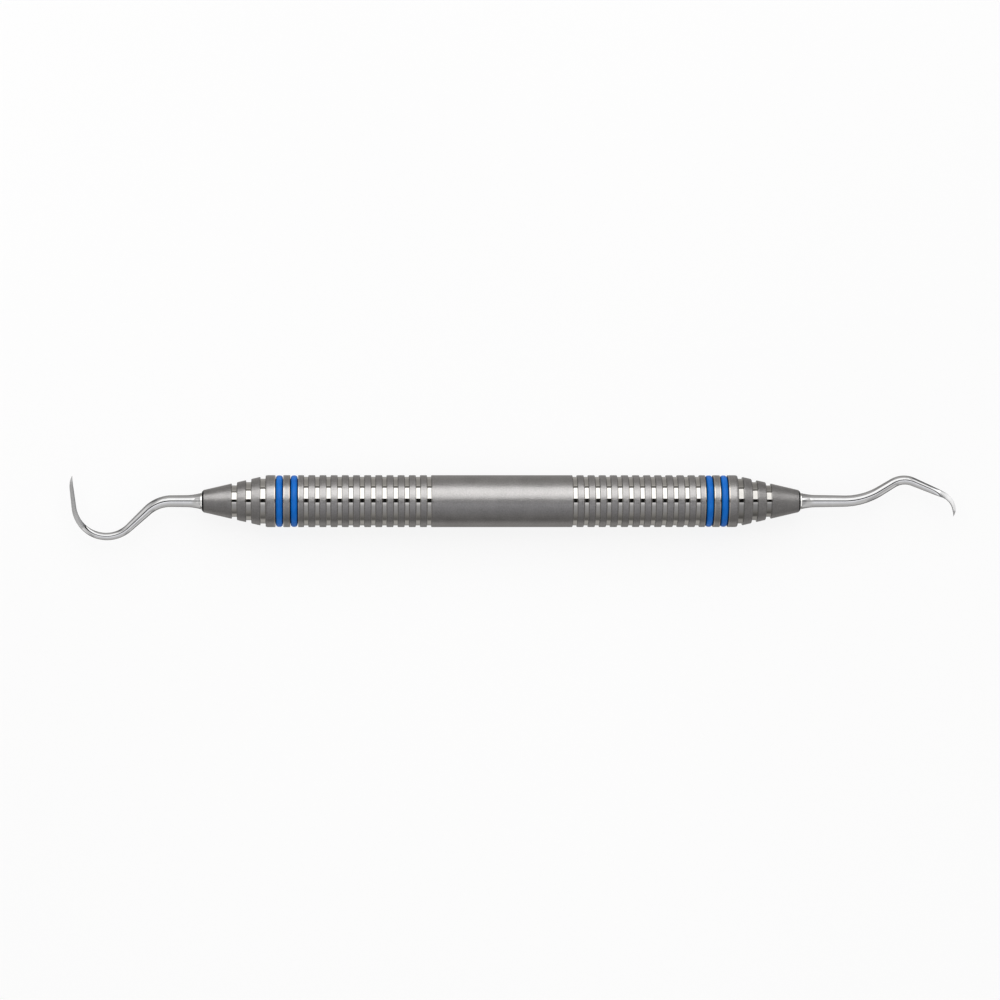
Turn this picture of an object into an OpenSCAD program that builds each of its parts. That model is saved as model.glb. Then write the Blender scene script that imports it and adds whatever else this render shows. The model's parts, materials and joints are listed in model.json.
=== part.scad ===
// Double-ended dental hand scaler.
// A hollow grooved barrel is closed at each end by a turned nose cone. Each cone
// holds a tip: a tang, a bent shank and a ground blade in one forging, sealed by
// a ring of braze. Four soft colour rings sit in grooves near the ends.
// Frame, in millimetres: the handle's axis is X with its middle at the origin.
// The long hooked tip is at -X, the short sickle tip is at +X. Both tips are bent
// in the XY plane, and +Z is up when the instrument lies on a table.

/* [Handle] */
// Outside diameter of the handle
handle_d = 9.525; // [9.3:0.025:9.75]
// Length of the handle between the two nose faces
handle_l = 109.8; // [109:0.1:111]
// Length of the plain band at the middle
plain_l = 25.9; // [24:0.1:26]
// Bore of the hollow barrel
bore_d = 7.4; // [7:0.1:7.6]

/* [Grip grooves] */
// Number of grooves on each side of the plain band
groove_count = 12; // [6:1:12]
// Distance from one groove to the next
groove_pitch = 2.045; // [1.8:0.005:2.045]
// Width of a groove
groove_w = 0.8; // [0.5:0.05:1]
// Depth of a groove
groove_depth = 0.3; // [0.15:0.05:0.4]

/* [Colour rings] */
// Middle of the inner ring's groove, from the middle of the handle
inner_ring_x = 38.05; // [38:0.05:38.3]
// Distance between the two ring grooves
ring_pitch = 2.7; // [2.5:0.1:2.8]
// Width of a ring's groove
ring_groove_w = 1.45; // [1.3:0.05:1.55]
// Diameter at the floor of a ring's groove
ring_floor_d = 8.2; // [8.1:0.05:8.4]
// Gap between a ring and each wall of its groove, twice the gap at the groove's floor
ring_gap = 0.09; // [0.03:0.01:0.1]

/* [Nose cones] */
// Length of the cone, without its plain land
cone_l = 12; // [11:0.1:12]
// Diameter of the cone's small end
nose_d = 3.95; // [3.8:0.05:4.6]
// Number of grooves in the cone
cone_groove_count = 3; // [1:1:3]
// Distance from one cone groove to the next
cone_groove_pitch = 2.62; // [2:0.02:2.8]
// Length of the spigot that is pressed into the barrel
spigot_l = 6; // [4:0.5:10]

/* [Tips] */
// Diameter of the tang inside the cone
tang_d = 2.2; // [1.8:0.1:2.4]
// Length of the tang
tang_l = 9; // [6:0.5:9.5]
// Diameter where the shank flares out to meet the cone
flare_d = 2.9; // [2.8:0.05:3.1]

/* [Hidden] */

handle_r = handle_d / 2;
nose_x = handle_l / 2;
cone_x = nose_x - cone_l;
outer_ring_x = inner_ring_x + ring_pitch;
// The barrel ends at the near wall of the outer ring's groove, so the ring hides the seam.
seam_x = outer_ring_x - ring_groove_w / 2;
shoulder_x = outer_ring_x + ring_groove_w / 2;

press = 0.01;
nose_chamfer = 0.25;
cone_groove_x = 0.35;
cone_groove_w = 0.96;
cone_groove_depth = 0.35;
relief_d = 5;
relief_end_x = nose_x - tang_l + 0.5;
overcut = 1;

ring_w = ring_groove_w - 2 * ring_gap;
ring_bore_r = ring_floor_d / 2 + ring_gap / 2;
ring_r = handle_r - 0.02;
ring_round = min(0.3, (ring_r - ring_bore_r) / 2);

// The braze fills a shallow neck between the nose face and the flare.
braze_l = 0.3;
neck_r = flare_d / 2 - 0.1;
braze_r = flare_d / 2 + 0.07;
flare_l = 2.2;
stub_l = 4.2;
sweep_start = 3.4;

// Bends of each shank from the nose face to the point, as [length, turn in degrees].
hook_bends = [[5.6, 0], [4.8, -43], [4.6, 0], [13.2, 126], [3.6, 0], [2.3, 20]];
sickle_bends = [[8.1, 0], [7, 31], [2.8, 0], [3.9, -54], [6.1, 0], [4.8, -84]];
// Width of each tip in the plane of its bends, as [distance from the nose face, width].
hook_widths = [[0, 2.24], [6, 2.12], [15, 1.46], [21.5, 1.3], [28, 0.82], [31.8, 0.7], [33, 0.5], [34.1, 0.06]];
sickle_widths = [[0, 2.32], [6, 2.14], [14, 1.84], [21, 1.62], [26.5, 1.28], [29.7, 0.8], [31.7, 0.5], [32.7, 0.06]];
// Where each round shank starts and ends its change into the blade's section.
hook_blade = [21, 27];
sickle_blade = [25, 29];

// The blade's section: a flat face on the inside of the curve, and two sides that
// lean together towards a narrow back.
face_factor = 1.2;
back_factor = 0.4;
sides = 16;
rings = 34;

function total_length(bends, i = 0) = i == len(bends) ? 0 : bends[i][0] + total_length(bends, i + 1);

// Straight distance covered by an arc of this length and turn.
function chord(length, turn) = turn == 0 ? length : length * sin(turn / 2) / (turn / 2 * PI / 180);

// Place and heading at a distance along the bends.
function pose(bends, distance, i = 0, place = [0, 0], heading = 0) =
    let (run = min(distance, bends[i][0]))
    let (turn = bends[i][1] * run / bends[i][0])
    let (middle = heading + turn / 2)
    let (next = place + chord(run, turn) * [cos(middle), sin(middle)])
    distance <= bends[i][0] || i == len(bends) - 1
        ? [next, heading + turn]
        : pose(bends, distance - bends[i][0], i + 1, next, heading + turn);

function smooth_step(low, high, value) =
    let (t = max(0, min(1, (value - low) / (high - low))))
    t * t * (3 - 2 * t);

// Point k of a unit circle, counted from the face's lower corner.
function round_point(k) = [cos(225 - 360 * k / sides), sin(225 - 360 * k / sides)];

// Point k of the blade's section, which has a quarter of the points on each side.
function blade_point(k) =
    let (corners = [[-1, -face_factor], [-1, face_factor], [1, back_factor], [1, -back_factor]])
    let (side = floor(k * 4 / sides))
    let (part = k * 4 / sides - side)
    corners[side] * (1 - part) + corners[(side + 1) % 4] * part;

// One ring of points across the tip, face_side being the side of the blade's face.
function tip_ring(bends, widths, blade, face_side, distance) =
    let (here = pose(bends, distance))
    let (normal = [-sin(here[1]), cos(here[1])] * -face_side)
    let (half = lookup(distance, widths) / 2)
    let (mix = smooth_step(blade[0], blade[1], distance))
    [for (k = [0:sides - 1])
        let (flat = half * (round_point(k) * (1 - mix) + blade_point(k) * mix))
        [here[0][0] + normal[0] * flat[0], here[0][1] + normal[1] * flat[0], face_side * flat[1]]];

// A solid of revolution about X from a list of [x, radius] points.
module turned(profile) {
    rotate([0, 90, 0])
        rotate_extrude($fn = 96)
            polygon([for (point = profile) [point[1], point[0]]]);
}

// A plain ring-shaped cut about X.
module ring_cut(middle_x, width, floor_r) {
    turned([
        [middle_x - width / 2, floor_r],
        [middle_x + width / 2, floor_r],
        [middle_x + width / 2, handle_r + overcut],
        [middle_x - width / 2, handle_r + overcut]
    ]);
}

module barrel() {
    first_groove_x = plain_l / 2 + groove_w / 2;
    color("silver")
        difference() {
            turned([
                [-seam_x, bore_d / 2],
                [seam_x, bore_d / 2],
                [seam_x, handle_r],
                [-seam_x, handle_r]
            ]);
            for (side = [-1, 1]) {
                for (i = [0:groove_count - 1])
                    ring_cut(side * (first_groove_x + i * groove_pitch), groove_w, handle_r - groove_depth);
                ring_cut(side * inner_ring_x, ring_groove_w, ring_floor_d / 2);
            }
        }
}

// The nose cone of the +X end: spigot, groove floor, land, grooved cone, tang hole.
module nose_cone() {
    slope = (handle_r - nose_d / 2) / cone_l;
    function cone_r(x) = handle_r - slope * (x - cone_x);
    grooves = [
        for (i = [0:cone_groove_count - 1])
            let (start = cone_x + cone_groove_x + i * cone_groove_pitch)
            let (end = start + cone_groove_w)
            each [
                [start, cone_r(start)],
                [start, cone_r(end) - cone_groove_depth],
                [end, cone_r(end) - cone_groove_depth],
                [end, cone_r(end)]
            ]
    ];
    outside = [
        [seam_x - spigot_l, bore_d / 2 + press],
        [seam_x, bore_d / 2 + press],
        [seam_x, ring_floor_d / 2],
        [shoulder_x, ring_floor_d / 2],
        [shoulder_x, handle_r],
        [cone_x, handle_r]
    ];
    nose = [
        [nose_x - nose_chamfer, cone_r(nose_x - nose_chamfer)],
        [nose_x, cone_r(nose_x) - nose_chamfer],
        [nose_x, tang_d / 2 - press],
        [relief_end_x, tang_d / 2 - press],
        [relief_end_x, relief_d / 2],
        [seam_x - spigot_l, relief_d / 2]
    ];
    color("silver")
        turned(concat(outside, grooves, nose));
}

// Tang, neck, flare and the straight start of the shank, from the nose face at x = 0.
module shank_base(shank_r) {
    turned([
        [-tang_l, 0],
        [-tang_l, tang_d / 2 - 0.2],
        [-tang_l + 0.2, tang_d / 2],
        [0, tang_d / 2],
        [0, neck_r],
        [braze_l, neck_r],
        [braze_l, flare_d / 2],
        [flare_l * 0.55, (flare_d / 2 * 0.45 + shank_r * 0.55)],
        [flare_l, shank_r + 0.03],
        [stub_l, shank_r],
        [stub_l, 0]
    ]);
}

// The bent shank and the blade, swept along the bends.
module swept_tip(bends, widths, blade, face_side) {
    end = total_length(bends);
    points = [
        for (i = [0:rings])
            each tip_ring(bends, widths, blade, face_side, sweep_start + (end - sweep_start) * i / rings)
    ];
    last = rings * sides;
    walls = [
        for (i = [0:rings - 1])
            for (k = [0:sides - 1])
                let (a = i * sides + k)
                let (b = i * sides + (k + 1) % sides)
                each [[a, a + sides, b + sides], [a, b + sides, b]]
    ];
    start_cap = [[for (k = [0:sides - 1]) k]];
    end_cap = [[for (k = [sides - 1:-1:0]) last + k]];
    polyhedron(points, concat(walls, start_cap, end_cap));
}

module hook_tip() {
    color("gainsboro")
        translate([-nose_x, 0, 0])
            mirror([1, 0, 0]) {
                shank_base(1.13);
                swept_tip(hook_bends, hook_widths, hook_blade, 1);
            }
}

module sickle_tip() {
    color("gainsboro")
        translate([nose_x, 0, 0]) {
            shank_base(1.18);
            swept_tip(sickle_bends, sickle_widths, sickle_blade, -1);
        }
}

// The braze of the +X end, which fills the neck against the nose face.
module braze_ring() {
    color("white")
        turned([
            [nose_x, neck_r],
            [nose_x, braze_r],
            [nose_x + braze_l, flare_d / 2],
            [nose_x + braze_l, neck_r]
        ]);
}

// A soft ring about X with a flat inside and a rounded outside.
module colour_ring(middle_x) {
    color("royalblue")
        translate([middle_x, 0, 0])
            rotate([0, 90, 0])
                rotate_extrude($fn = 96) {
                    translate([ring_bore_r, -ring_w / 2])
                        square([ring_r - ring_round - ring_bore_r, ring_w]);
                    translate([ring_bore_r, -ring_w / 2 + ring_round])
                        square([ring_r - ring_bore_r, ring_w - 2 * ring_round]);
                    for (side = [-1, 1])
                        translate([ring_r - ring_round, side * (ring_w / 2 - ring_round)])
                            circle(r = ring_round, $fn = 32);
                }
}

barrel();
mirror([1, 0, 0]) nose_cone();  // hook_nose_cone
nose_cone();  // sickle_nose_cone
hook_tip();
sickle_tip();
mirror([1, 0, 0]) braze_ring();  // hook_braze_ring
braze_ring();  // sickle_braze_ring
colour_ring(-inner_ring_x);  // hook_inner_colour_ring
colour_ring(-outer_ring_x);  // hook_outer_colour_ring
colour_ring(inner_ring_x);  // sickle_inner_colour_ring
colour_ring(outer_ring_x);  // sickle_outer_colour_ring
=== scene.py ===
"""Looks of a double-ended dental hand scaler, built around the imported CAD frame.

The handle's axis is X, the hooked tip is at -X and the short sickle tip at +X. Both
tips are bent in the XY plane, and +Z is up as the instrument lies on the floor.
Lengths are in metres, and MM turns a size in millimetres into metres.
"""
import json
import math

import bpy
from mathutils import Matrix, Vector

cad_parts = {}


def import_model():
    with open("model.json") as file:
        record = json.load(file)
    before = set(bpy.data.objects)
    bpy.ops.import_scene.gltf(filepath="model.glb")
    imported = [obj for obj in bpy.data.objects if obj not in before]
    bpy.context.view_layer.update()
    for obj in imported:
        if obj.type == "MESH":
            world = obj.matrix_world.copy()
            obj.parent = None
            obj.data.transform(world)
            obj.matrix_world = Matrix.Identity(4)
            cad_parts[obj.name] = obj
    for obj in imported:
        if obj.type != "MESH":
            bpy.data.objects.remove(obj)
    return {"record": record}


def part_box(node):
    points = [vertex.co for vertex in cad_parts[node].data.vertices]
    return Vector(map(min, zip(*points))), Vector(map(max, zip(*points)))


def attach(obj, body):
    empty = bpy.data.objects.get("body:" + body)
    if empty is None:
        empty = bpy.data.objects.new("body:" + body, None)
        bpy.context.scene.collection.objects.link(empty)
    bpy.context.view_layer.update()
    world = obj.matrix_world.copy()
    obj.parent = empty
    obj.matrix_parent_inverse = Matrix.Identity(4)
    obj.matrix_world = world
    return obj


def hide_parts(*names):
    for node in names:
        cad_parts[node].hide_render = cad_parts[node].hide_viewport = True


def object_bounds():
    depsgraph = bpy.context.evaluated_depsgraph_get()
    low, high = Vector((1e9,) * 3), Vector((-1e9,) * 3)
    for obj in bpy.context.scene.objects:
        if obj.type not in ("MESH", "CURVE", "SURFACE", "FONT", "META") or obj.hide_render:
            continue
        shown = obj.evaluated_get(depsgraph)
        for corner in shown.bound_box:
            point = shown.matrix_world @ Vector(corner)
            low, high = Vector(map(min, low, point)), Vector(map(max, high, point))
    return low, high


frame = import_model()
cad_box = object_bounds()

MM = 0.001

# ---------------------------------------------------------------- sizes from the frame
HANDLE_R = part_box("barrel")[1].z
SEAM_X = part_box("barrel")[1].x
SPIGOT_X, NOSE_X = (corner.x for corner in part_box("sickle_nose_cone"))
FLOOR_Z = cad_box[0].z
PLAIN_HALF = frame["record"]["mounts"][0]["dims"]["length_mm"] / 2 * MM
TANG_L = NOSE_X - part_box("sickle_tip")[0].x
RING_LOW, RING_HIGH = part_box("sickle_inner_colour_ring")
INNER_RING_X = (RING_LOW.x + RING_HIGH.x) / 2
RING_W = RING_HIGH.x - RING_LOW.x
RING_R = RING_HIGH.z

# ---------------------------------------------------------------- sizes of the handle
BORE_R = 3.7 * MM
GROOVE_COUNT = 12
GROOVE_PITCH = 2.045 * MM
GROOVE_W = 0.8 * MM
GROOVE_DEPTH = 0.3 * MM
RING_GROOVE_W = 1.45 * MM
RING_FLOOR_R = 4.1 * MM
CONE_L = 12 * MM
NOSE_R = 1.975 * MM
CONE_GROOVES = 3
CONE_GROOVE_START = 0.35 * MM
CONE_GROOVE_W = 0.96 * MM
CONE_GROOVE_DEPTH = 0.35 * MM
CONE_GROOVE_PITCH = 2.62 * MM
TANG_R = 1.1 * MM
# The bore behind a tang's hole, and how far the tang reaches into it.
RELIEF_R = 2.5 * MM
TANG_PAST = 0.5 * MM
# Rounding of corners: land to groove, groove floor, edge of a ring groove, bore and ring
# groove floor, and land to cone.
FINE_EDGE = 0.11 * MM
FLOOR_EDGE = 0.1 * MM
RING_EDGE = 0.08 * MM
BORE_EDGE = 0.05 * MM
CONE_EDGE = 0.1 * MM
# Width of the polished rim beside a ring groove.
RIM_W = 0.2 * MM
# The dark bevel at a cone's nose, painted near-black as a painted shade: its length, its depth and the
# rounding of its corners.
NOSE_EDGE = 0.32 * MM
NOSE_EDGE_DEPTH = 0.256 * MM
NOSE_CORNER = 0.03 * MM

# ---------------------------------------------------------------- sizes of the colour rings
RING_GAP = 0.03 * MM
RING_CHAMFER_W = 0.12 * MM
RING_CHAMFER_H = 0.1 * MM
RING_SIDE_H = 0.16 * MM
# How far each side leans in towards the top, as a share of half the ring's width.
RING_LEAN = 0.16
RING_SEAM_DEPTH = 0.012 * MM
RING_STEPS = 20

# ---------------------------------------------------------------- sizes of the tips
FLARE_R = 1.45 * MM
NECK_R = 1.35 * MM
BRAZE_L = 0.3 * MM
BRAZE_R = 1.52 * MM
FLARE_L = 2.6 * MM
FLARE_POWER = 1.9
# Bends from the nose face to the point, as (length in mm, turn in degrees).
HOOK_BENDS = [(5.6, 0), (4.8, -43), (4.6, 0), (13.2, 126), (3.6, 0), (2.3, 20)]
SICKLE_BENDS = [(8.1, 0), (7, 31), (2.8, 0), (3.9, -54), (6.1, 0), (4.8, -84)]
# Width in the plane of the bends, as (distance from the nose face, width), in mm.
HOOK_WIDTHS = [
    (0, 2.24), (6, 2.12), (15, 1.46), (21.5, 1.3),
    (28, 0.82), (31.8, 0.7), (33, 0.5), (34.1, 0.04),
]
SICKLE_WIDTHS = [
    (0, 2.32), (6, 2.14), (14, 1.84), (21, 1.62),
    (26.5, 1.28), (29.7, 0.8), (31.7, 0.5), (32.7, 0.04),
]
# Where each round shank starts and ends its change into the blade's section, in mm.
HOOK_BLADE = (21, 27)
SICKLE_BLADE = (25, 29)
# Length of a blade's point, where the mesh has closer rings, in mm.
POINT_L = 1.2

# ---------------------------------------------------------------- fineness of the meshes
TURNS = 144
TIP_SIDES = 96
ARC_STEPS = 3
FLARE_STEPS = 16
SHANK_STEPS = 150
POINT_STEPS = 14
SHARP_DEGREES = 32
SUPPORT_REACH = 0.05 * MM


# ================================================================ meshes
def mesh_object(name, points, faces, materials, slots):
    """A smooth-shaded mesh whose corners over SHARP_DEGREES stay sharp."""
    mesh = bpy.data.meshes.new(name)
    mesh.from_pydata(points, [], faces)
    for material in materials:
        mesh.materials.append(material)
    mesh.polygons.foreach_set("material_index", slots)
    mesh.polygons.foreach_set("use_smooth", [True] * len(faces))
    mesh.validate()
    mesh.set_sharp_from_angle(angle=math.radians(SHARP_DEGREES))
    made = bpy.data.objects.new(name, mesh)
    bpy.context.scene.collection.objects.link(made)
    return made


def rounded_outline(outline):
    """Rounds each corner (x, r, slot, radius) of a closed outline with an arc.

    Each point gives the material slot of the wall that starts there, and an arc of
    FINE_EDGE or more gets the slot EDGE. The result has a support point on each side
    of every arc, so that flat walls shade flat.
    """
    made = []
    count = len(outline)
    for i, (x, r, slot, radius) in enumerate(outline):
        before = outline[i - 1]
        after = outline[(i + 1) % count]
        here = Vector((x, r))
        back = Vector((before[0], before[1])) - here
        on = Vector((after[0], after[1])) - here
        if radius == 0:
            made.append((x, r, slot))
            continue
        angle = back.angle(on)
        reach = min(radius / math.tan(angle / 2), 0.45 * back.length, 0.45 * on.length)
        start = here + back.normalized() * reach
        end = here + on.normalized() * reach
        support = min(reach, SUPPORT_REACH)
        arc_slot = EDGE if radius >= FINE_EDGE else slot
        made.append((*(start + back.normalized() * support), before[2]))
        for step in range(ARC_STEPS + 1):
            t = step / ARC_STEPS
            point = start * (1 - t) ** 2 + here * 2 * t * (1 - t) + end * t**2
            made.append((point.x, point.y, arc_slot if step < ARC_STEPS else slot))
        made.append((*(end + on.normalized() * support), slot))
    return made


def lathe(name, outline, materials, side=1):
    """Turns a closed outline of (x, r, slot, radius) corners about X, mirrored if side is -1."""
    ring = rounded_outline(outline)
    points = []
    faces = []
    slots = []
    count = len(ring)
    for x, r, _ in ring:
        for k in range(TURNS):
            turn = 2 * math.pi * k / TURNS
            points.append((side * x, r * math.cos(turn), r * math.sin(turn)))
    for i, (_, _, slot) in enumerate(ring):
        j = (i + 1) % count
        for k in range(TURNS):
            m = (k + 1) % TURNS
            face = (i * TURNS + k, i * TURNS + m, j * TURNS + m, j * TURNS + k)
            faces.append(face if side > 0 else face[::-1])
            slots.append(slot)
    return mesh_object(name, points, faces, materials, slots)


# Material slots of the turned parts. The fifth slot is near-black steel, a painted shade in the ring
# grooves, on the seam faces and on the nose bevel.
SATIN, BRIGHT, EDGE, RIM, PAINTED_SHADE, INSIDE = range(6)


def groove_corners(start, end, start_r, end_r, floor_r):
    """Corners of one groove in an outline that runs towards +X along the outside."""
    return [
        (start, start_r, BRIGHT, FINE_EDGE),
        (start, floor_r, BRIGHT, FLOOR_EDGE),
        (end, floor_r, BRIGHT, FLOOR_EDGE),
        (end, end_r, SATIN, FINE_EDGE),
    ]


def ring_groove_corners(middle):
    """Corners of a colour ring's groove, with a polished rim on each side of it, and walls and floor
    painted near-black as a painted shade.
    """
    start = middle - RING_GROOVE_W / 2
    end = middle + RING_GROOVE_W / 2
    return [
        (start - RIM_W, HANDLE_R, RIM, 0),
        (start, HANDLE_R, PAINTED_SHADE, RING_EDGE),
        (start, RING_FLOOR_R, PAINTED_SHADE, BORE_EDGE),
        (end, RING_FLOOR_R, PAINTED_SHADE, BORE_EDGE),
        (end, HANDLE_R, RIM, RING_EDGE),
        (end + RIM_W, HANDLE_R, SATIN, 0),
    ]


def barrel(materials):
    """The hollow grooved tube between the two outer ring grooves."""
    outline = [
        # The seam faces at both ends are painted near-black as a painted shade.
        (-SEAM_X, BORE_R, PAINTED_SHADE, BORE_EDGE),
        (-SEAM_X, HANDLE_R, RIM, RING_EDGE),
        (-SEAM_X + RIM_W, HANDLE_R, SATIN, 0),
    ]
    outline += ring_groove_corners(-INNER_RING_X)
    floor_r = HANDLE_R - GROOVE_DEPTH
    grooves = [PLAIN_HALF + GROOVE_W / 2 + i * GROOVE_PITCH for i in range(GROOVE_COUNT)]
    for middle in sorted([-x for x in grooves] + grooves):
        start = middle - GROOVE_W / 2
        end = middle + GROOVE_W / 2
        outline += groove_corners(start, end, HANDLE_R, HANDLE_R, floor_r)
    outline += ring_groove_corners(INNER_RING_X)
    outline += [
        (SEAM_X - RIM_W, HANDLE_R, RIM, 0),
        (SEAM_X, HANDLE_R, PAINTED_SHADE, RING_EDGE),
        (SEAM_X, BORE_R, INSIDE, BORE_EDGE),
    ]
    return lathe("grooved_barrel", outline, materials)


def nose_cone(name, side, materials):
    """A turned end plug: spigot, ring groove floor, land, grooved cone and tang hole."""
    cone_x = NOSE_X - CONE_L
    slope = (HANDLE_R - NOSE_R) / CONE_L
    shoulder_x = SEAM_X + RING_GROOVE_W
    relief_x = NOSE_X - TANG_L + TANG_PAST
    outline = [
        (SPIGOT_X, RELIEF_R, INSIDE, 0),
        (SPIGOT_X, BORE_R, INSIDE, BORE_EDGE),
        # The seam face and the ring groove's floor are painted near-black as a painted shade.
        (SEAM_X, BORE_R, PAINTED_SHADE, 0),
        (SEAM_X, RING_FLOOR_R, PAINTED_SHADE, 0),
        (shoulder_x, RING_FLOOR_R, PAINTED_SHADE, BORE_EDGE),
        (shoulder_x, HANDLE_R, RIM, RING_EDGE),
        (shoulder_x + RIM_W, HANDLE_R, SATIN, 0),
        (cone_x, HANDLE_R, SATIN, CONE_EDGE),
    ]
    for i in range(CONE_GROOVES):
        start = cone_x + CONE_GROOVE_START + i * CONE_GROOVE_PITCH
        end = start + CONE_GROOVE_W
        start_r = HANDLE_R - slope * (start - cone_x)
        end_r = HANDLE_R - slope * (end - cone_x)
        outline += groove_corners(start, end, start_r, end_r, end_r - CONE_GROOVE_DEPTH)
    outline += [
        # The nose bevel and the nose face are painted near-black as a painted shade.
        (NOSE_X - NOSE_EDGE, NOSE_R + slope * NOSE_EDGE, PAINTED_SHADE, NOSE_CORNER),
        (NOSE_X, NOSE_R - NOSE_EDGE_DEPTH, PAINTED_SHADE, NOSE_CORNER),
        (NOSE_X, TANG_R, INSIDE, 0),
        (relief_x, TANG_R, INSIDE, 0),
        (relief_x, RELIEF_R, INSIDE, 0),
    ]
    return lathe(name, outline, materials, side)


def braze_ring(name, side, material):
    """The bright fillet of filler metal between the cone and the shank."""
    outline = [
        (NOSE_X, NECK_R, 0, 0),
        (NOSE_X, BRAZE_R, 0, 0.04 * MM),
        (NOSE_X + BRAZE_L * 0.75, BRAZE_R - 0.02 * MM, 0, 0.06 * MM),
        (NOSE_X + BRAZE_L, NECK_R + 0.06 * MM, 0, 0.02 * MM),
        (NOSE_X + BRAZE_L, NECK_R, 0, 0),
    ]
    return lathe(name, outline, [material], side)


def colour_ring(name, body, node, material):
    """A soft ring: flat inside, sides that lean in, a crowned outside and a faint moulding line."""
    low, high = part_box(node)
    middle = (low.x + high.x) / 2
    inside_r = RING_FLOOR_R + RING_GAP
    side_r = inside_r + RING_SIDE_H
    half = RING_W / 2
    outline = [
        (middle - half + RING_CHAMFER_W, inside_r, 0, 0),
        (middle - half, inside_r + RING_CHAMFER_H, 0, 0),
    ]
    for step in range(RING_STEPS + 1):
        turn = math.pi * (1 - step / RING_STEPS)
        across = math.copysign(abs(math.cos(turn)) ** 0.85, math.cos(turn))
        up = math.sin(turn) ** 0.7
        seam = RING_SEAM_DEPTH * math.exp(-(((step - RING_STEPS / 2) / 0.8) ** 2))
        x = middle + half * across * (1 - RING_LEAN * up)
        r = side_r + (RING_R - side_r) * up - seam
        outline.append((x, r, 0, 0))
    outline += [
        (middle + half, inside_r + RING_CHAMFER_H, 0, 0),
        (middle + half - RING_CHAMFER_W, inside_r, 0, 0),
    ]
    made = lathe(name, outline, [material])
    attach(made, body)
    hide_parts(node)
    return made


def lookup(table, value):
    """Straight-line value between the rows of a table of pairs."""
    for (x0, y0), (x1, y1) in zip(table, table[1:]):
        if value <= x1:
            return y0 + (y1 - y0) * (value - x0) / (x1 - x0)
    return table[-1][1]


def smooth_step(low, high, value):
    """0 below low, 1 above high, and a smooth rise between them."""
    t = max(0.0, min(1.0, (value - low) / (high - low)))
    return t * t * (3 - 2 * t)


def place_on(bends, distance):
    """Place in mm and heading in radians at a distance in mm along the bends."""
    place = Vector((0, 0))
    heading = 0.0
    if distance <= 0:
        return Vector((distance, 0)), heading
    for length, turn in bends:
        run = min(distance, length)
        turned = math.radians(turn) * run / length
        chord = run if turned == 0 else run * math.sin(turned / 2) / (turned / 2)
        middle = heading + turned / 2
        place = place + chord * Vector((math.cos(middle), math.sin(middle)))
        heading += turned
        distance -= run
        if distance <= 1e-9:
            break
    return place, heading


def blade_section(k):
    """Point k of the blade's section in half-widths: a flat face on the inside of the
    curve, two slightly crowned sides that lean together, and a narrow back."""
    corners = [(-1, -1.15), (-1, 1.15), (1, 0.34), (1, -0.34)]
    along = k * 4 / TIP_SIDES
    side = int(along)
    part = along - side
    here = corners[side]
    after = corners[(side + 1) % 4]
    crown = 0.10 * 4 * part * (1 - part) if side in (1, 3) else 0
    lean = crown if side == 1 else -crown
    return (here[0] * (1 - part) + after[0] * part, here[1] * (1 - part) + after[1] * part + lean)


def tip_radius(widths, distance):
    """Half the tip's width in mm, with the tang, the neck and the flare before the shank."""
    half = lookup(widths, max(0, distance)) / 2
    if distance < 0:
        return TANG_R / MM
    if distance < BRAZE_L / MM:
        return NECK_R / MM
    spread = max(0.0, 1 - (distance - BRAZE_L / MM) / (FLARE_L / MM))
    return half + (FLARE_R / MM - half) * spread**FLARE_POWER


def tip_stations(bends):
    """Distances from the nose face, in mm, at which a tip gets a ring of points."""
    total = sum(length for length, _ in bends)
    tang = TANG_L / MM
    neck = BRAZE_L / MM
    reach = neck + FLARE_L / MM
    point = total - POINT_L
    # A pair of close rings on each side of a step keeps the step sharp.
    made = [-tang, -tang + 0.04, -tang + 0.2, -0.02, -1e-6, 1e-6, 0.02]
    made += [neck - 0.02, neck - 1e-6, neck, neck + 0.02]
    made += [neck + FLARE_L / MM * (i / FLARE_STEPS) for i in range(1, FLARE_STEPS + 1)]
    made += [reach + (point - reach) * i / SHANK_STEPS for i in range(1, SHANK_STEPS + 1)]
    made += [point + POINT_L * (1 - (1 - i / POINT_STEPS) ** 1.5) for i in range(1, POINT_STEPS + 1)]
    return made


def tip(name, side, face_side, bends, widths, blade, materials):
    """One forging: tang, neck, flared base, bent round shank and ground blade."""
    stations = tip_stations(bends)
    points = []
    rows = len(stations)
    for number, distance in enumerate(stations):
        place, heading = place_on(bends, distance)
        normal = Vector((-math.sin(heading), math.cos(heading))) * -face_side
        half = tip_radius(widths, distance)
        # The tang's end has a small chamfer.
        if number == 0:
            half -= 0.2
        elif number == 1:
            half -= 0.16
        mix = smooth_step(*blade, distance)
        for k in range(TIP_SIDES):
            turn = math.radians(225) - 2 * math.pi * k / TIP_SIDES
            flat = blade_section(k)
            across = half * (math.cos(turn) * (1 - mix) + flat[0] * mix)
            up = half * (math.sin(turn) * (1 - mix) + flat[1] * mix) * face_side
            x = NOSE_X + (place.x + normal.x * across) * MM
            points.append((side * x, (place.y + normal.y * across) * MM, up * MM))
    faces = []
    slots = []
    for i in range(rows - 1):
        ground = 1 if stations[i] > (blade[0] + blade[1]) / 2 else 0
        for k in range(TIP_SIDES):
            a = i * TIP_SIDES + k
            b = i * TIP_SIDES + (k + 1) % TIP_SIDES
            faces.append((a, a + TIP_SIDES, b + TIP_SIDES, b))
            slots.append(ground)
    faces.append(tuple(range(TIP_SIDES)))
    faces.append(tuple(reversed(range((rows - 1) * TIP_SIDES, rows * TIP_SIDES))))
    slots += [0, 1]
    if side < 0:
        faces = [face[::-1] for face in faces]
    return mesh_object(name, points, faces, materials, slots)


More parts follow.
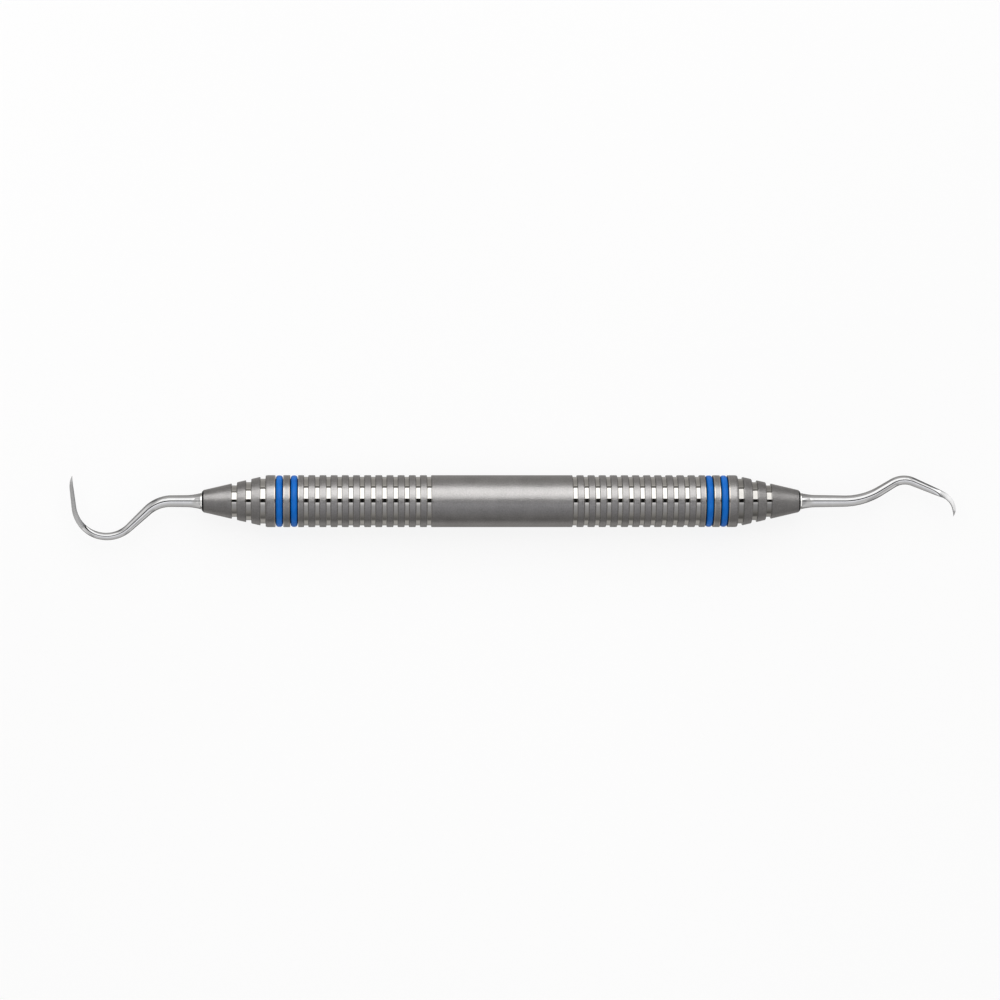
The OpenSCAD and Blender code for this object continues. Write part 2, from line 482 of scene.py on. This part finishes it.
# ================================================================ materials
class Nodes:
    """A short hand for building one material's nodes."""

    def __init__(self, name):
        self.material = bpy.data.materials.new(name)
        self.material.use_nodes = True
        self.tree = self.material.node_tree
        self.shader = self.tree.nodes["Principled BSDF"]

    def add(self, kind, **values):
        node = self.tree.nodes.new(kind)
        for name, value in values.items():
            if name in node.inputs:
                node.inputs[name].default_value = value
            else:
                setattr(node, name, value)
        return node

    def link(self, source, target):
        self.tree.links.new(source, target)

    def math(self, operation, first, second=None):
        node = self.add("ShaderNodeMath", operation=operation)
        for socket, value in zip(node.inputs, (first, second)):
            if value is None:
                continue
            if isinstance(value, (int, float)):
                socket.default_value = value
            else:
                self.link(value, socket)
        return node.outputs[0]

    def set(self, **values):
        """Sets the shader's own sockets."""
        for name, value in values.items():
            self.shader.inputs[name.replace("_", " ")].default_value = value

    def position_mm(self):
        """Position on the object in millimetres."""
        coordinates = self.add("ShaderNodeTexCoord")
        scale = self.add("ShaderNodeVectorMath", operation="SCALE")
        scale.inputs["Scale"].default_value = 1 / MM
        self.link(coordinates.outputs["Object"], scale.inputs[0])
        return scale.outputs[0]

    def turned_mm(self, along, around):
        """Position as (along X, around X, out from X) in mm, with the first two scaled."""
        split = self.add("ShaderNodeSeparateXYZ")
        self.link(self.position_mm(), split.inputs[0])
        turn = self.math("ARCTAN2", split.outputs["Y"], split.outputs["Z"])
        join = self.add("ShaderNodeCombineXYZ")
        self.link(self.math("MULTIPLY", split.outputs["X"], along), join.inputs[0])
        self.link(self.math("MULTIPLY", turn, around), join.inputs[1])
        return join.outputs[0]

    def noise(self, vector, scale, detail=2.0, rough=0.5):
        node = self.add("ShaderNodeTexNoise", Scale=scale, Detail=detail, Roughness=rough)
        self.link(vector, node.inputs["Vector"])
        return node.outputs["Fac"]

    def spread(self, value, low, high):
        """A noise value, from about 0.3 to 0.7, mapped to low to high."""
        node = self.add("ShaderNodeMapRange")
        node.inputs["From Min"].default_value = 0.3
        node.inputs["From Max"].default_value = 0.7
        node.inputs["To Min"].default_value = low
        node.inputs["To Max"].default_value = high
        self.link(value, node.inputs["Value"])
        return node.outputs[0]

    def tint(self, value, dark, light):
        """A colour between dark and light, by a noise value."""
        node = self.add("ShaderNodeValToRGB")
        node.color_ramp.elements[0].position = 0.3
        node.color_ramp.elements[0].color = (*dark, 1)
        node.color_ramp.elements[1].position = 0.7
        node.color_ramp.elements[1].color = (*light, 1)
        self.link(value, node.inputs["Fac"])
        self.link(node.outputs["Color"], self.shader.inputs["Base Color"])

    def bump(self, height, distance_mm, strength=1.0):
        node = self.add("ShaderNodeBump", Strength=strength, Distance=distance_mm * MM)
        self.link(height, node.inputs["Height"])
        self.link(node.outputs["Normal"], self.shader.inputs["Normal"])


def satin_steel():
    """Fine blasted stainless steel with a faint lathe lay and handling marks."""
    n = Nodes("satin_steel")
    place = n.position_mm()
    grain = n.noise(place, 3.4, 3, 0.65)
    lay = n.noise(n.turned_mm(14, 1.2), 1.0, 2)
    cloud = n.noise(place, 0.35, 2)
    shade = n.math("ADD", n.math("MULTIPLY", grain, 0.6), n.math("MULTIPLY", cloud, 0.4))
    n.tint(shade, (0.4, 0.389, 0.384), (0.57, 0.556, 0.549))
    rough = n.math("ADD", n.math("MULTIPLY", cloud, 0.5), n.math("MULTIPLY", grain, 0.5))
    n.link(n.spread(rough, 0.32, 0.38), n.shader.inputs["Roughness"])
    n.bump(n.math("ADD", grain, n.math("MULTIPLY", lay, 0.25)), 0.034)
    n.set(Metallic=1.0)
    return n.material


def bright_steel(name, base, rough):
    """Turned and polished steel with very fine rings left by the tool."""
    n = Nodes(name)
    rings = n.noise(n.turned_mm(30, 0.6), 1.0, 2)
    cloud = n.noise(n.position_mm(), 1.1, 2)
    n.tint(cloud, tuple(c * 0.93 for c in base), base)
    n.link(n.spread(rings, rough * 0.75, rough * 1.25), n.shader.inputs["Roughness"])
    n.bump(rings, 0.0006)
    n.set(Metallic=1.0)
    return n.material


def shank_steel():
    """Polished steel with a very fine grain and faint wear."""
    n = Nodes("shank_steel")
    place = n.position_mm()
    cloud = n.noise(place, 0.8, 3)
    fine = n.noise(place, 9.0, 2)
    n.tint(cloud, (0.86, 0.86, 0.865), (0.93, 0.93, 0.93))
    mix = n.math("ADD", n.math("MULTIPLY", cloud, 0.5), n.math("MULTIPLY", fine, 0.5))
    n.link(n.spread(mix, 0.02, 0.05), n.shader.inputs["Roughness"])
    n.bump(fine, 0.0005)
    # The dark grey edge tint darkens reflections at grazing angles: a painted dark reflection along the
    # shank's outline.
    n.set(Metallic=1.0, Specular_Tint=(0.2, 0.2, 0.2, 1))
    return n.material


def ground_steel():
    """A blade face left by a fine wheel: short scratches across the blade."""
    n = Nodes("ground_steel")
    place = n.position_mm()
    stretch = n.add("ShaderNodeMapping")
    stretch.inputs["Scale"].default_value = (1.5, 11, 11)
    n.link(place, stretch.inputs["Vector"])
    scratch = n.noise(stretch.outputs[0], 1.0, 3, 0.65)
    cloud = n.noise(place, 1.3, 2)
    shade = n.math("ADD", n.math("MULTIPLY", scratch, 0.6), n.math("MULTIPLY", cloud, 0.4))
    n.tint(shade, (0.58, 0.58, 0.585), (0.7, 0.7, 0.7))
    n.link(n.spread(scratch, 0.2, 0.34), n.shader.inputs["Roughness"])
    n.bump(scratch, 0.0015)
    # The dark grey edge tint darkens reflections at grazing angles: a painted dark reflection along the
    # blade's outline.
    n.set(Metallic=1.0, Specular_Tint=(0.3, 0.3, 0.3, 1))
    return n.material


def braze_metal():
    """Silver filler metal that froze with a soft uneven skin."""
    n = Nodes("braze_metal")
    flow = n.noise(n.position_mm(), 3.0, 3)
    n.tint(flow, (0.8, 0.79, 0.76), (0.92, 0.915, 0.9))
    n.link(n.spread(flow, 0.14, 0.24), n.shader.inputs["Roughness"])
    n.bump(flow, 0.004)
    n.set(Metallic=1.0)
    return n.material


def blue_silicone():
    """Moulded silicone: even colour with faint clouding, a fine skin and a soft sheen."""
    n = Nodes("blue_silicone")
    place = n.position_mm()
    cloud = n.noise(place, 0.7, 3)
    skin = n.noise(place, 16.0, 2)
    n.tint(cloud, (0.002, 0.145, 0.60), (0.006, 0.190, 0.72))
    n.link(n.spread(skin, 0.3, 0.4), n.shader.inputs["Roughness"])
    n.bump(n.math("ADD", skin, n.math("MULTIPLY", cloud, 0.6)), 0.003)
    n.set(Metallic=0.0, IOR=1.32, Coat_Weight=0.03, Coat_Roughness=0.3)
    return n.material


def floor_material():
    """A pale table top that also glows, so that its shadows stay faint."""
    n = Nodes("pale_floor")
    cloud = n.noise(n.position_mm(), 0.004, 2)
    n.tint(cloud, (0.13, 0.13, 0.13), (0.15, 0.15, 0.15))
    n.set(Roughness=0.7, Emission_Color=(1, 1, 1, 1), Emission_Strength=0.85)
    return n.material


# ================================================================ stage
def floor():
    """A large round table top that touches the underside of the handle."""
    sides = 128
    rings = [0.3, 1.0, 4.0]
    points = [(0, 0, FLOOR_Z)]
    for radius in rings:
        for k in range(sides):
            turn = 2 * math.pi * k / sides
            points.append((radius * math.cos(turn), radius * math.sin(turn), FLOOR_Z))
    faces = [(0, 1 + k, 1 + (k + 1) % sides) for k in range(sides)]
    for ring in range(len(rings) - 1):
        a = 1 + ring * sides
        for k in range(sides):
            m = (k + 1) % sides
            faces.append((a + k, a + sides + k, a + sides + m, a + m))
    made = mesh_object("floor", points, faces, [floor_material()], [0] * len(faces))
    made.visible_glossy = False


def world():
    """Even room light: grey all round, pale where the camera sees it past the floor."""
    made = bpy.data.worlds.new("studio")
    made.use_nodes = True
    tree = made.node_tree
    tree.nodes.clear()
    new = tree.nodes.new
    link = tree.links.new
    coordinates = new("ShaderNodeTexCoord")
    split = new("ShaderNodeSeparateXYZ")
    turn = new("ShaderNodeMath")
    turn.operation = "ARCTAN2"
    share = new("ShaderNodeMapRange")
    share.inputs["From Min"].default_value = -math.pi
    share.inputs["From Max"].default_value = math.pi
    link(coordinates.outputs["Generated"], split.inputs[0])
    link(split.outputs["Y"], turn.inputs[0])
    link(split.outputs["Z"], turn.inputs[1])
    link(turn.outputs[0], share.inputs["Value"])
    # Brightness by the angle from straight up, towards +Y, in degrees.
    levels = [
        (-180, 0.33), (-148, 0.32), (-134, 0.40), (-114, 0.42), (-106, 0.30), (-99, 0.14), (-91, 0.14),
        (-78, 0.20), (-67, 0.26), (-46, 0.33), (-25, 0.40), (-16, 0.56), (-10, 0.86), (-7.2, 0.86),
        (-6.6, 0.01), (11, 0.01), (66, 0.14), (75.5, 0.14), (77, 0.55), (80, 0.52), (84, 0.40),
        (93, 0.36), (108, 0.33), (126, 0.36), (140, 0.43), (180, 0.33),
    ]
    ramp = new("ShaderNodeValToRGB")
    ramp.color_ramp.interpolation = "LINEAR"
    while len(ramp.color_ramp.elements) > 1:
        ramp.color_ramp.elements.remove(ramp.color_ramp.elements[0])
    warm = (1.02, 1.0, 0.98)
    cool = (0.99, 0.995, 1.04)
    for i, (angle, level) in enumerate(levels):
        position = (angle + 180) / 360
        element = ramp.color_ramp.elements[0] if i == 0 else ramp.color_ramp.elements.new(position)
        element.position = position
        tint = cool if -50 < angle < 0 else warm
        element.color = (*(level * part for part in tint), 1)
    link(share.outputs[0], ramp.inputs["Fac"])
    # Towards +X and -X the bands give way to even grey, a darker step and pale grey ends.
    side = new("ShaderNodeMath")
    side.operation = "ABSOLUTE"
    link(split.outputs["X"], side.inputs[0])
    mixed = ramp.outputs["Color"]
    steps = (
        (0.2, 0.36, (0.27, 0.265, 0.26, 1)),
        (0.4, 0.46, (0.13, 0.13, 0.13, 1)),
        (0.5, 0.62, (0.36, 0.355, 0.35, 1)),
    )
    for low, high, colour in steps:
        fade = new("ShaderNodeMapRange")
        fade.interpolation_type = "SMOOTHSTEP"
        fade.inputs["From Min"].default_value = low
        fade.inputs["From Max"].default_value = high
        link(side.outputs[0], fade.inputs["Value"])
        mix = new("ShaderNodeMix")
        mix.data_type = "RGBA"
        mix.inputs[7].default_value = colour
        link(fade.outputs[0], mix.inputs[0])
        link(mixed, mix.inputs[6])
        mixed = mix.outputs[2]
    room = new("ShaderNodeBackground")
    link(mixed, room.inputs["Color"])
    pale = new("ShaderNodeBackground")
    pale.inputs["Color"].default_value = (0.93, 0.93, 0.93, 1)
    path = new("ShaderNodeLightPath")
    choose = new("ShaderNodeMixShader")
    link(path.outputs["Is Camera Ray"], choose.inputs[0])
    link(room.outputs[0], choose.inputs[1])
    link(pale.outputs[0], choose.inputs[2])
    output = new("ShaderNodeOutputWorld")
    link(choose.outputs[0], output.inputs["Surface"])
    bpy.context.scene.world = made


def facing(place, right, up, back):
    """The matrix of an object at a place, with its own axes along three directions."""
    return Matrix.Translation(place) @ Matrix((right, up, back)).transposed().to_4x4()


def area_light(name, place, width, depth, radiance, shows_in_metal=True):
    """A soft rectangular light aimed at the handle's middle."""
    data = bpy.data.lights.new(name, "AREA")
    data.shape = "RECTANGLE"
    data.size = width
    data.size_y = depth
    data.energy = radiance * math.pi * width * depth
    made = bpy.data.objects.new(name, data)
    bpy.context.scene.collection.objects.link(made)
    back = Vector(place).normalized()
    right = Vector((1, 0, 0))
    if abs(back.x) > 0.5:
        right = Vector((0, 1, 0)).cross(back).normalized()
    made.matrix_world = facing(place, right, back.cross(right), back)
    made.visible_camera = False
    made.visible_glossy = shows_in_metal
    return made


def softbox(name, low, high, distance, width, radiance):
    """A softbox along X that fills the sky from low to high degrees off straight up, towards +Y.

    Its distance from the handle and its width along X are in metres.
    """
    middle = math.radians((low + high) / 2)
    depth = 2 * distance * math.tan(math.radians((high - low) / 2))
    place = (0, distance * math.sin(middle), distance * math.cos(middle))
    return area_light(name, place, width, depth, radiance)


def aim_light(light, pieces, state):
    """Makes a light reach only these pieces, or every piece except these."""
    group = bpy.data.collections.new(light.name + "_pieces")
    for piece in pieces:
        group.objects.link(piece)
    for entry in group.collection_objects:
        entry.light_linking.link_state = state
    light.light_linking.receiver_collection = group


def lights(tips, brazes):
    """A key softbox for the handle, and a narrower one with soft fills for the tips."""
    key = softbox("key_softbox", 12.3, 66, 0.6, 0.63, 1.64)
    # The key stands a little towards the hooked tip.
    key.location.x = -0.045
    aim_light(key, tips, "EXCLUDE")
    for side in (-1, 1):
        made = area_light(f"side_softbox_{side}", (0.95 * side, 0.5, 0.5), 0.5, 0.6, 0.6)
        aim_light(made, tips, "EXCLUDE")
    aim_light(softbox("braze_fill", -85, 85, 1.2, 4.0, 0.75), brazes, "INCLUDE")
    area_light("floor_wash", (0, -0.25, 1.6), 2.4, 2.4, 0.44, False)
    for made in (
        softbox("tip_softbox", 16, 59, 0.6, 0.36, 0.7),
        softbox("tip_softbox_edge", 16, 59, 0.6, 0.54, 0.6),
        softbox("tip_sky_fill", 12, 76, 1.2, 4.0, 0.28),
        softbox("tip_low_fill", -108, -7, 1.2, 4.0, 0.24),
        area_light("tip_left_fill", (-1.05, 0, 0.6), 1.6, 1.6, 0.14),
        area_light("tip_right_fill", (1.0, 0.35, 0.6), 1.15, 1.15, 0.85),
    ):
        aim_light(made, tips, "INCLUDE")


def camera():
    """Looks straight down, with the hooked tip at the left, from a little to the left."""
    away = 0.8
    tilt = math.radians(2.2)
    frame_width = 183.5 * MM
    aim = Vector((-0.32, 0.21, 0)) * MM
    data = bpy.data.cameras.new("camera")
    data.sensor_width = 36
    data.lens = data.sensor_width * away / frame_width
    data.clip_start = 0.01
    data.clip_end = 50
    made = bpy.data.objects.new("camera", data)
    bpy.context.scene.collection.objects.link(made)
    back = Vector((-math.sin(tilt), 0, math.cos(tilt)))
    right = Vector((0, 1, 0)).cross(back).normalized()
    up = back.cross(right)
    made.matrix_world = facing(aim + back * away, right, up, back)
    bpy.context.scene.camera = made


# ================================================================ build
def build():
    """Makes every piece, and returns the two tips and the two braze rings beside them."""
    satin = satin_steel()
    bright = bright_steel("groove_steel", (0.71, 0.69, 0.655), 0.045)
    dull_painted_shade = bright_steel("dull_painted_shade_groove_steel", (0.54, 0.525, 0.5), 0.07)
    # The rounded groove edges are painted dark grey: a painted shade for the dark lines along the edges of
    # the grooves.
    edge = bright_steel("edge_steel_painted_dark", (0.34, 0.335, 0.33), 0.14)
    inside = bright_steel("inside_steel", (0.55, 0.54, 0.53), 0.3)
    rim = bright_steel("rim_steel", (0.74, 0.67, 0.60), 0.27)
    # Near-black steel for recesses and gaps: a painted shade, not the steel's own colour.
    painted_shade = bright_steel("painted_shade_steel", (0.03, 0.03, 0.03), 0.3)
    turned = [satin, bright, edge, rim, painted_shade, inside]
    # The groove floors of the sickle's cone are rougher than the others, and painted greyer as a painted
    # shade for the dimmer light at that end.
    dull_painted_shade_steels = [satin, dull_painted_shade, edge, rim, painted_shade, inside]
    shank = [shank_steel(), ground_steel()]
    braze = braze_metal()
    blue = blue_silicone()

    made = barrel(turned)
    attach(made, "handle")
    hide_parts("barrel")

    brazes = []
    for name, side, steels in (("hook", -1, turned), ("sickle", 1, dull_painted_shade_steels)):
        made = nose_cone(name + "_cone", side, steels)
        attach(made, "handle")
        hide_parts(name + "_nose_cone")
        made = braze_ring(name + "_braze", side, braze)
        brazes.append(made)
        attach(made, "handle")
        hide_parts(name + "_braze_ring")
        for place in ("inner", "outer"):
            colour_ring(f"{name}_{place}_ring", f"{name}_{place}_ring", f"{name}_{place}_colour_ring", blue)

    hook = tip("hook_sickle_tip", -1, 1, HOOK_BENDS, HOOK_WIDTHS, HOOK_BLADE, shank)
    short = tip("short_sickle_tip", 1, -1, SICKLE_BENDS, SICKLE_WIDTHS, SICKLE_BLADE, shank)
    for made, node in ((hook, "hook_tip"), (short, "sickle_tip")):
        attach(made, "handle")
        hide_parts(node)
    return [hook, short], brazes


tips, brazes = build()
floor()
world()
lights(tips, brazes)
camera()
bpy.context.scene.view_settings.view_transform = "Standard"
